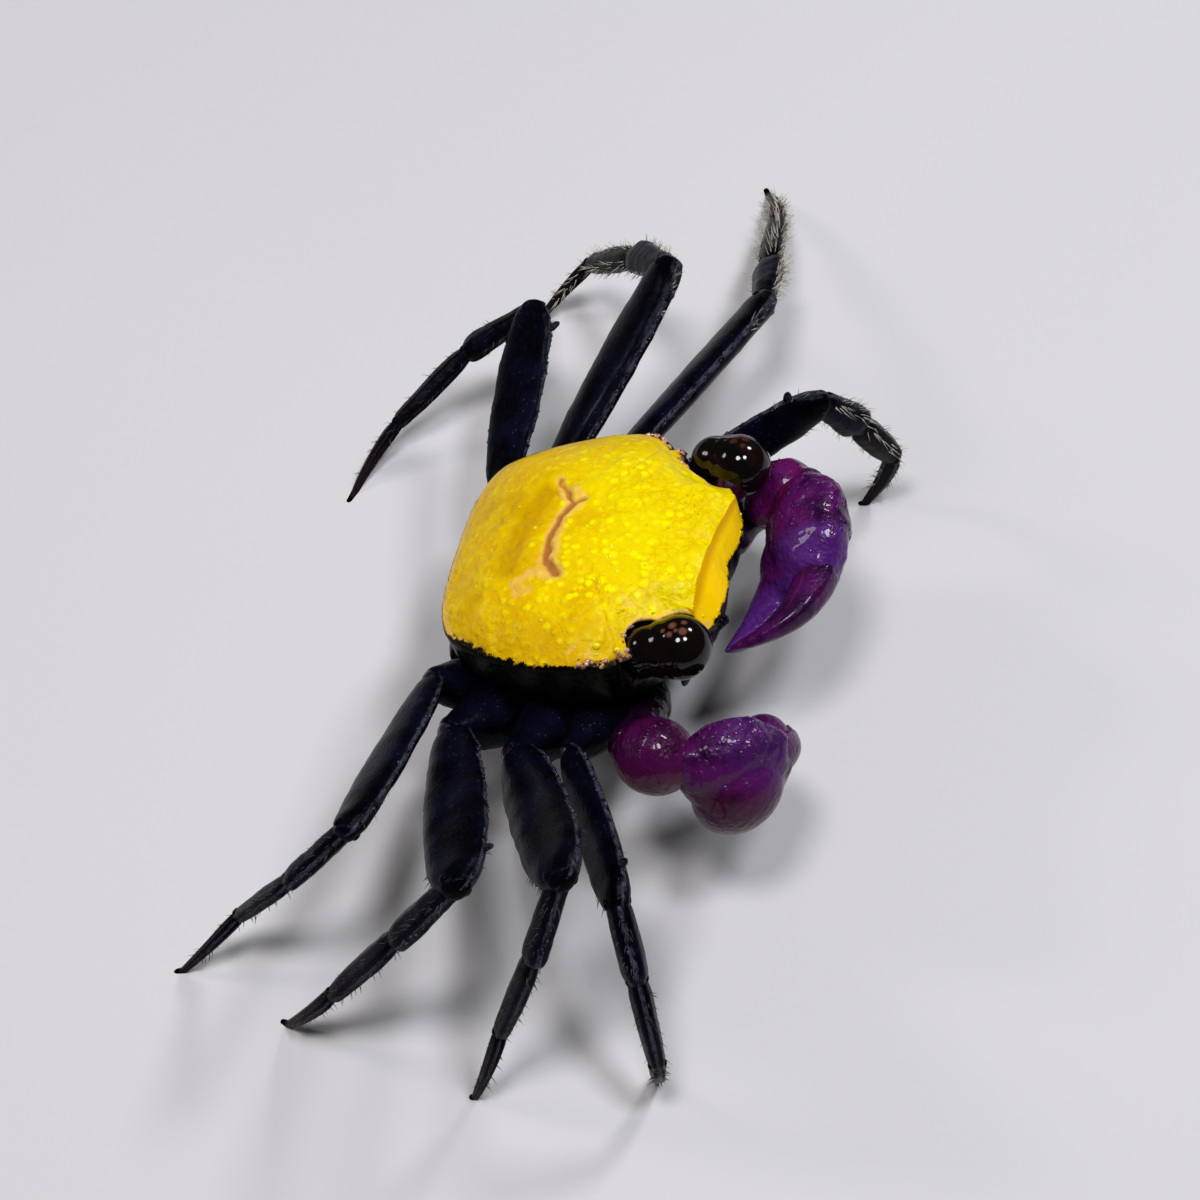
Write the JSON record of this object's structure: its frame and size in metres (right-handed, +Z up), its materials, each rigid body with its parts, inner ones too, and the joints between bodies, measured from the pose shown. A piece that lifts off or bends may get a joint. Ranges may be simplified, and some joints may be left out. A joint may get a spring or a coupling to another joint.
{
  "type": "vampire crab",
  "caption": "Life-size still model of a small land crab with a yellow shell, black legs and purple claws, standing with its claws folded before its mouth.",
  "frame": {"origin": "the middle of the floor that the crab stands on: the bottom centre of its box", "axes": "+X the way the crab faces, +Y to its left, +Z up"},
  "size_m": [0.0278, 0.054, 0.0141],
  "materials": {
    "carapace": "vivid yellow shell, finely granulate, satin to glossy, brownish groove, dark walls",
    "underside": "glossy black-brown underside",
    "leg": "black legs with a dark violet cast, glossy keels and dark bristles",
    "claw": "wet glossy purple to magenta, granulate on the back of the hand",
    "eye": "glossy brown-black cornea"
  },
  "bodies": {
    "root": {"carapace": "carapace", "thorax": "underside", "abdomen": "underside", "maxilliped_left": "underside", "maxilliped_right": "underside", "antenna_left": "underside", "antenna_right": "underside", "eye_left": "eye", "eye_right": "eye", "cheliped_left_base": "claw", "cheliped_left_merus": "claw", "cheliped_left_carpus": "claw", "cheliped_left_palm": "claw", "cheliped_left_dactyl": "claw", "cheliped_right_base": "claw", "cheliped_right_merus": "claw", "cheliped_right_carpus": "claw", "cheliped_right_palm": "claw", "cheliped_right_dactyl": "claw", "leg2_left_base": "leg", "leg2_left_merus": "leg", "leg2_left_carpus": "leg", "leg2_left_propodus": "leg", "leg2_left_dactyl": "leg", "leg2_right_base": "leg", "leg2_right_merus": "leg", "leg2_right_carpus": "leg", "leg2_right_propodus": "leg", "leg2_right_dactyl": "leg", "leg3_left_base": "leg", "leg3_left_merus": "leg", "leg3_left_carpus": "leg", "leg3_left_propodus": "leg", "leg3_left_dactyl": "leg", "leg3_right_base": "leg", "leg3_right_merus": "leg", "leg3_right_carpus": "leg", "leg3_right_propodus": "leg", "leg3_right_dactyl": "leg", "leg4_left_base": "leg", "leg4_left_merus": "leg", "leg4_left_carpus": "leg", "leg4_left_propodus": "leg", "leg4_left_dactyl": "leg", "leg4_right_base": "leg", "leg4_right_merus": "leg", "leg4_right_carpus": "leg", "leg4_right_propodus": "leg", "leg4_right_dactyl": "leg", "leg5_left_base": "leg", "leg5_left_merus": "leg", "leg5_left_carpus": "leg", "leg5_left_propodus": "leg", "leg5_left_dactyl": "leg", "leg5_right_base": "leg", "leg5_right_merus": "leg", "leg5_right_carpus": "leg", "leg5_right_propodus": "leg", "leg5_right_dactyl": "leg"}
  },
  "joints": []
}
